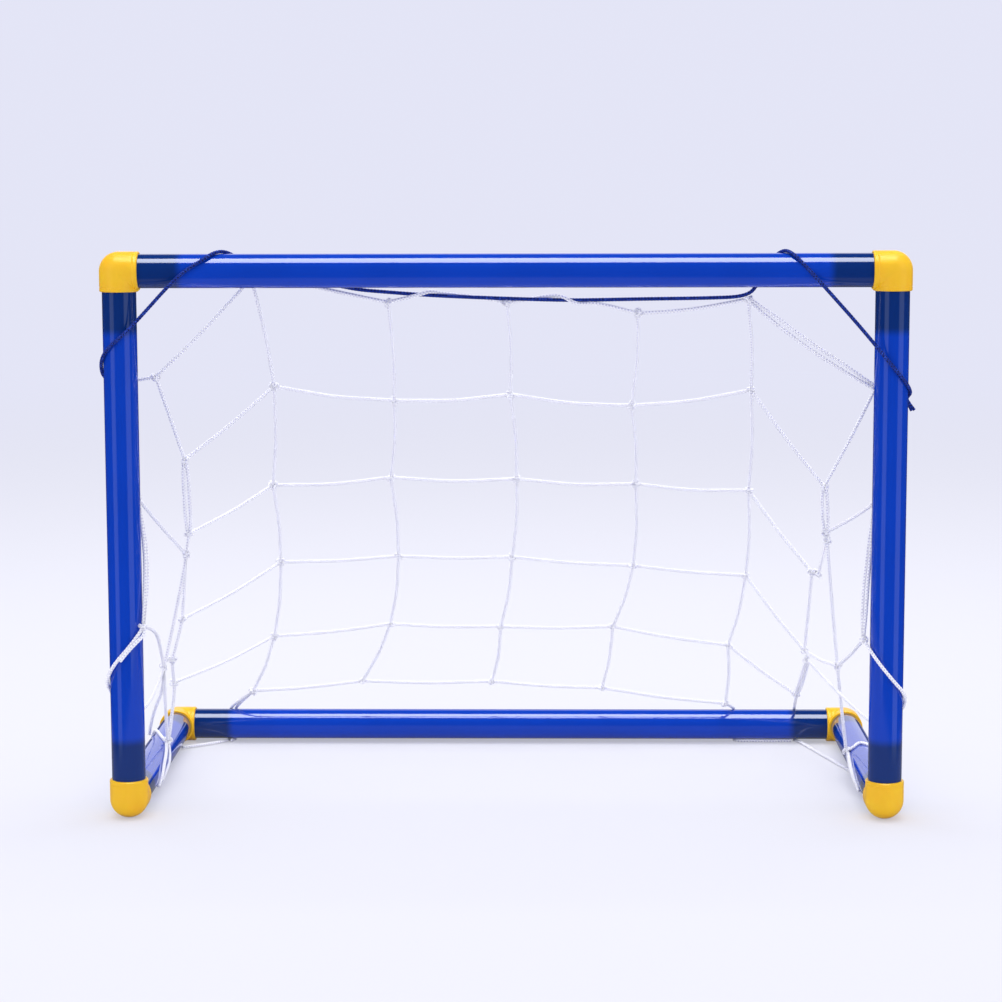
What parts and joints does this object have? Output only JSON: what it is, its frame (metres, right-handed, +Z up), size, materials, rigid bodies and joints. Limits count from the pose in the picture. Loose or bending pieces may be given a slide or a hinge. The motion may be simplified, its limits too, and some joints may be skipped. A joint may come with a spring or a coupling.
{
  "type": "hockey goal net",
  "caption": "Small hockey goal of blue plastic tubes pushed onto yellow corner elbows, with a white knotted cord net sloping from the crossbar to the rear bar, laced on with blue cord",
  "frame": {"origin": "on the floor, midway between the posts and midway between the front and the rear of the frame", "axes": "+X to the right as seen from the playing side, +Y from the goal mouth to the rear bar, +Z up"},
  "size_m": [0.5964, 0.295, 0.4241],
  "materials": {
    "blue_plastic": "glossy extruded plastic tube",
    "yellow_plastic": "glossy moulded plastic",
    "white_cord": "braided cord, knotted",
    "blue_cord": "braided cord"
  },
  "bodies": {
    "root": {"crossbar": "blue_plastic", "elbow_front_left": "yellow_plastic", "elbow_front_right": "yellow_plastic", "elbow_rear_left": "yellow_plastic", "elbow_rear_right": "yellow_plastic", "elbow_top_left": "yellow_plastic", "elbow_top_right": "yellow_plastic", "lacing_cord": "blue_cord", "lacing_knots": "blue_cord", "left_post": "blue_plastic", "left_post_loop": "white_cord", "left_side_tube": "blue_plastic", "left_side_tube_wrap": "white_cord", "net_back_knots": "white_cord", "net_column_1": "white_cord", "net_column_2": "white_cord", "net_column_3": "white_cord", "net_column_4": "white_cord", "net_column_5": "white_cord", "net_left_cross_cords": "white_cord", "net_left_foot_cords": "white_cord", "net_left_knots": "white_cord", "net_left_mesh_cords": "white_cord", "net_left_post_cords": "white_cord", "net_right_cross_cords": "white_cord", "net_right_foot_cords": "white_cord", "net_right_knots": "white_cord", "net_right_mesh_cords": "white_cord", "net_right_post_cords": "white_cord", "net_row_a": "white_cord", "net_row_b": "white_cord", "net_row_c": "white_cord", "net_row_d": "white_cord", "net_row_e": "white_cord", "net_top_border": "white_cord", "rear_bar": "blue_plastic", "rear_ties_left": "white_cord", "rear_ties_right": "white_cord", "right_post": "blue_plastic", "right_post_loop": "white_cord", "right_side_tube": "blue_plastic", "right_side_tube_wrap": "white_cord"}
  },
  "joints": []
}
